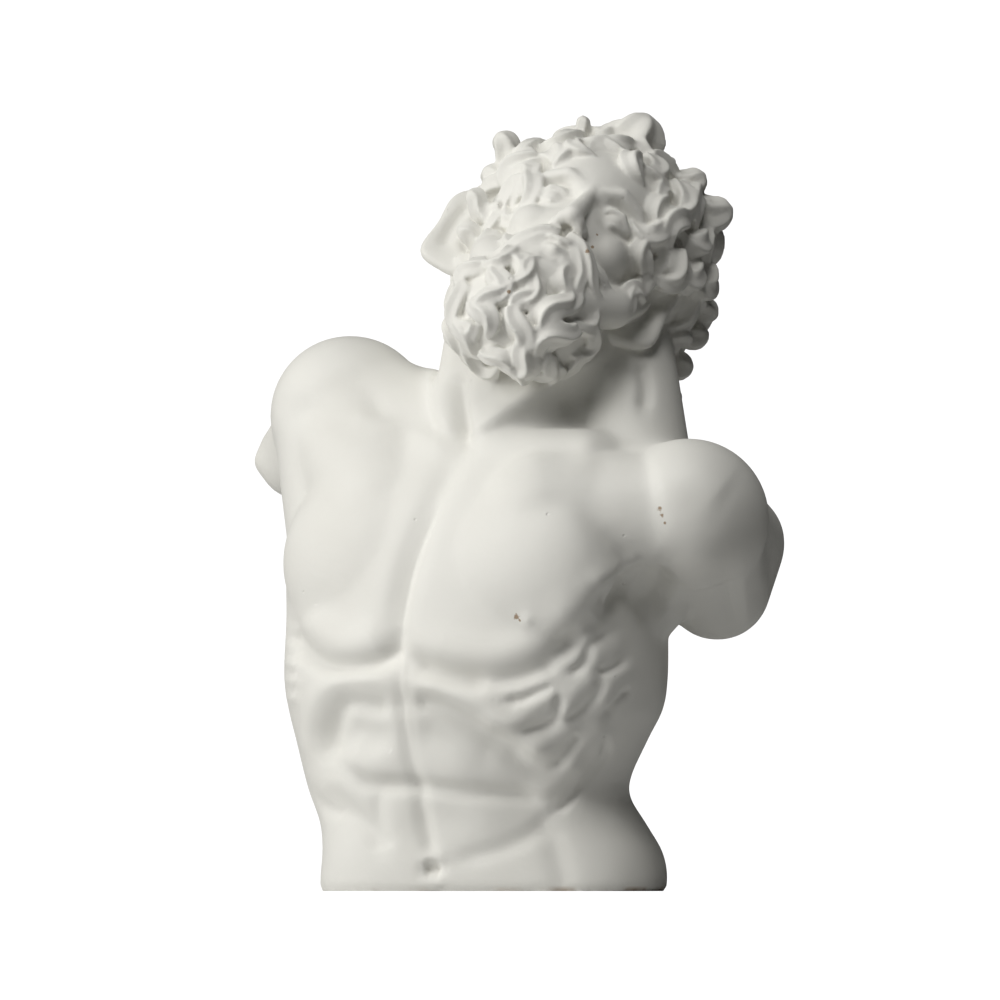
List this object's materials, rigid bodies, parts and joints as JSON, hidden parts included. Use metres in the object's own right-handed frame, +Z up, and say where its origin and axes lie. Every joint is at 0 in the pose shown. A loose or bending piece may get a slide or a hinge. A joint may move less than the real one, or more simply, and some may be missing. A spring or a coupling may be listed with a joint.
{
  "type": "plaster bust",
  "caption": "Bearded male bust with thrown-back head, curly hair, muscular torso and drawn-back arm stumps, cast as one piece on a flat underside.",
  "frame": {"origin": "centre of the flat underside, on the surface it stands on", "axes": "+Z up, -Y towards the side that the picture shows, +X to the right of that view"},
  "size_m": [0.2171, 0.1681, 0.3197],
  "materials": {
    "plaster": "matte"
  },
  "bodies": {
    "root": {"bust": "plaster"}
  },
  "joints": []
}
